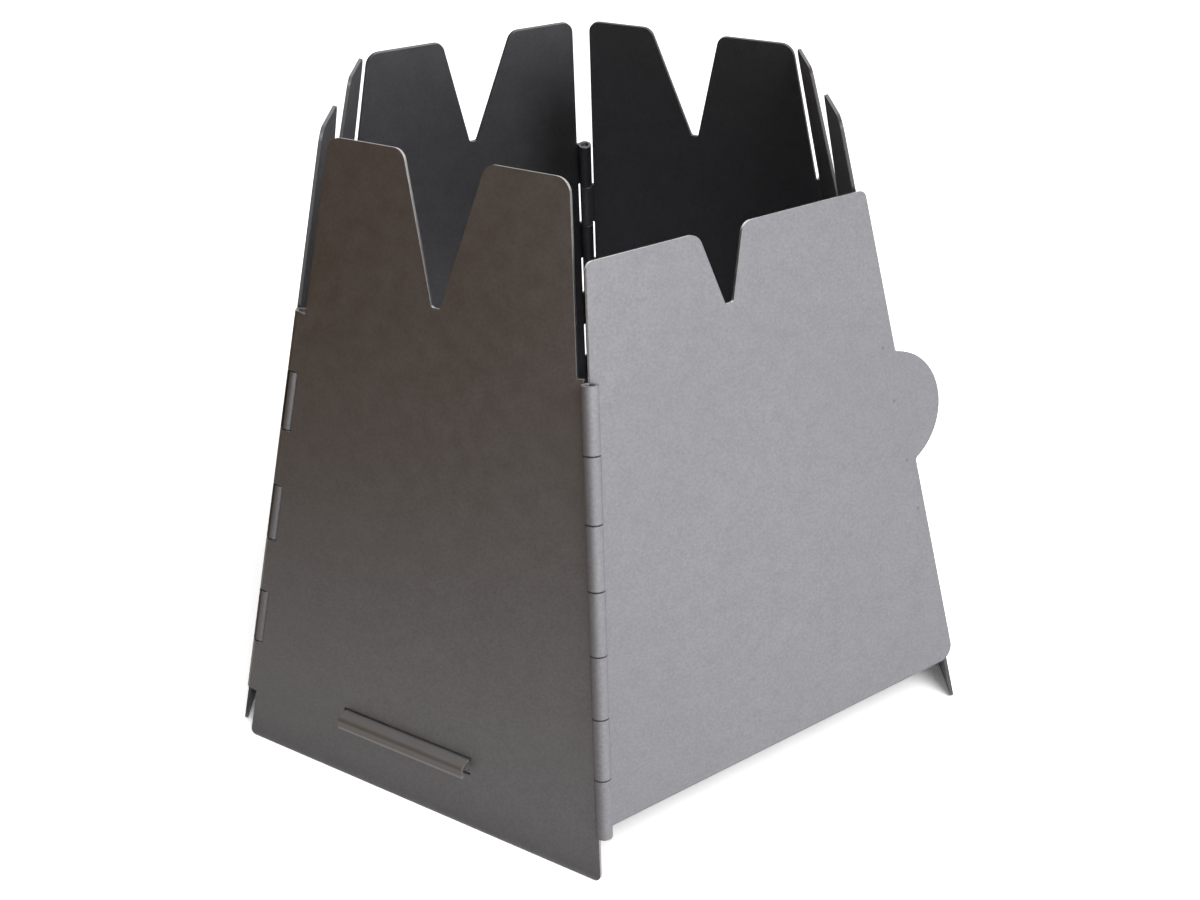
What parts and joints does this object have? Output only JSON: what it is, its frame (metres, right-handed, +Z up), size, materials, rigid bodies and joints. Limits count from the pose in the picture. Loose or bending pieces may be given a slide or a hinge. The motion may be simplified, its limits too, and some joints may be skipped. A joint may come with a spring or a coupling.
{
  "type": "folding camp stove",
  "caption": "Folding hexagonal wood stove of tapered sheet-metal panels joined by rolled hinges, with a notched rim, a finger-tab door and a perforated fire plate hooked through one panel.",
  "frame": {"origin": "centre of the stove's footprint, on the ground", "axes": "+Z up, -Y toward the door, +X to the right of someone facing the door"},
  "size_m": [0.1448, 0.1267, 0.1016],
  "materials": {
    "door_sheet": "satin stainless sheet",
    "panel_sheet": "satin stainless sheet",
    "strip": "satin stainless sheet",
    "pin_wire": "drawn stainless wire",
    "plate_sheet": "satin stainless sheet"
  },
  "bodies": {
    "plate": {"fire_plate": "plate_sheet"},
    "hook_side": {"hook_panel": "panel_sheet", "door_hinge_pin": "pin_wire", "left_hinge_pin": "pin_wire"},
    "back_left_side": {"back_left_panel": "panel_sheet", "back_left_hinge_pin": "pin_wire"},
    "back_side": {"back_panel": "panel_sheet", "back_right_hinge_pin": "pin_wire"},
    "back_right_side": {"back_right_panel": "panel_sheet", "right_hinge_pin": "pin_wire"},
    "front_right_side": {"front_right_panel": "panel_sheet"},
    "door": {"door_panel": "door_sheet", "door_lap_strip": "strip"}
  },
  "joints": [
    {"name": "plate_release", "type": "slide", "parent": "plate", "child": "hook_side", "axis": [0, 0, 1], "range_m": [0, 0.1805]},
    {"name": "door_swing", "type": "hinge", "parent": "hook_side", "child": "door", "pos_m": [-0.03153, -0.05462, 0.03867], "axis": [-0.1387, -0.2402, -0.9608], "range_deg": [0, 234]},
    {"name": "left_fold", "type": "hinge", "parent": "hook_side", "child": "back_left_side", "pos_m": [-0.06085, 0, 0.03803], "axis": [-0.2774, 0, -0.9608], "range_deg": [0, 120.5]},
    {"name": "back_left_fold", "type": "hinge", "parent": "back_left_side", "child": "back_side", "pos_m": [-0.03153, 0.05462, 0.03867], "axis": [0.1387, -0.2402, 0.9608], "range_deg": [0, 238.04]},
    {"name": "back_right_fold", "type": "hinge", "parent": "back_side", "child": "back_right_side", "pos_m": [0.03042, 0.05269, 0.03803], "axis": [0.1387, 0.2402, -0.9608], "range_deg": [0, 121.97]},
    {"name": "right_fold", "type": "hinge", "parent": "back_right_side", "child": "front_right_side", "pos_m": [0.06306, 0, 0.03867], "axis": [-0.2774, 0, 0.9608], "range_deg": [0, 238.04]}
  ],
  "couplings": [
    {"joint": "back_left_fold", "follows": "left_fold", "ratio": 1.9754},
    {"joint": "back_right_fold", "follows": "left_fold", "ratio": 1.0122},
    {"joint": "right_fold", "follows": "left_fold", "ratio": 1.9754},
    {"joint": "plate_release", "follows": "left_fold", "m_per_rad": 0.085587}
  ]
}
